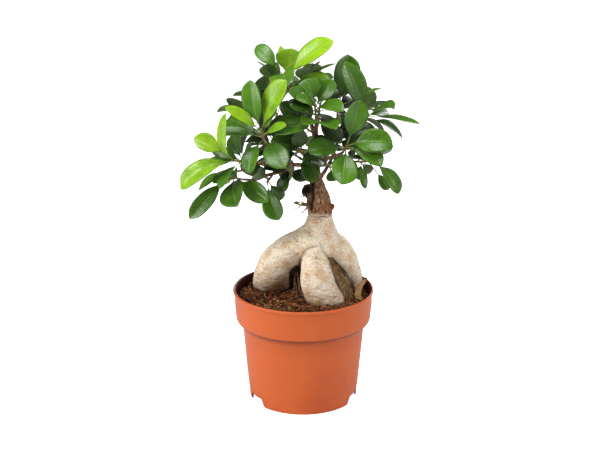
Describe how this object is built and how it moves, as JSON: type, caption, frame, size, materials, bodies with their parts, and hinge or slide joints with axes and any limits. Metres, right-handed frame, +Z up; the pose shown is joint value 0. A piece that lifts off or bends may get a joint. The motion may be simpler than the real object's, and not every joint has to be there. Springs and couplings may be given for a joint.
{
  "type": "bonsai tree in a pot",
  "caption": "Grafted fig bonsai with a swollen root body and a round leafy crown, standing in a stepped round plastic nursery pot filled with peat.",
  "frame": {"origin": "on the ground under the middle of the pot", "axes": "+Z up the plant, +X to the viewer's right, +Y to the back, away from the viewer"},
  "size_m": [0.194, 0.1364, 0.3128],
  "materials": {
    "pot_plastic": "satin",
    "peat": "matte",
    "root_skin": "satin",
    "bark": "matte",
    "leaf_mature": "satin",
    "leaf_young": "satin"
  },
  "bodies": {
    "root": {"bough_back": "bark", "bough_back_left": "bark", "bough_back_low": "bark", "bough_back_right": "bark", "bough_crown": "bark", "bough_left": "bark", "bough_left_front": "bark", "bough_left_low": "bark", "bough_right": "bark", "bough_right_front": "bark", "pot": "pot_plastic", "root_caudex": "root_skin", "scion_trunk": "bark", "shoot_back_left": "leaf_mature", "shoot_back_left_high": "leaf_mature", "shoot_back_low": "leaf_mature", "shoot_back_low_left": "leaf_mature", "shoot_back_middle": "leaf_mature", "shoot_back_right": "leaf_mature", "shoot_centre": "leaf_mature", "shoot_centre_front": "leaf_mature", "shoot_centre_left": "leaf_mature", "shoot_centre_low_right": "leaf_mature", "shoot_crown": "leaf_young", "shoot_crown_left": "leaf_mature", "shoot_crown_right": "leaf_mature", "shoot_inside_front": "leaf_mature", "shoot_inside_high": "leaf_mature", "shoot_inside_left": "leaf_mature", "shoot_inside_low": "leaf_mature", "shoot_inside_right": "leaf_mature", "shoot_left": "leaf_young", "shoot_left_front": "leaf_young", "shoot_left_low": "leaf_mature", "shoot_left_low_inner": "leaf_mature", "shoot_left_low_near": "leaf_mature", "shoot_left_tail": "leaf_mature", "shoot_right": "leaf_mature", "shoot_right_front": "leaf_mature", "shoot_right_low": "leaf_mature", "shoot_trunk_bud": "leaf_young", "shoot_upper_right": "leaf_mature", "soil": "peat"}
  },
  "joints": []
}
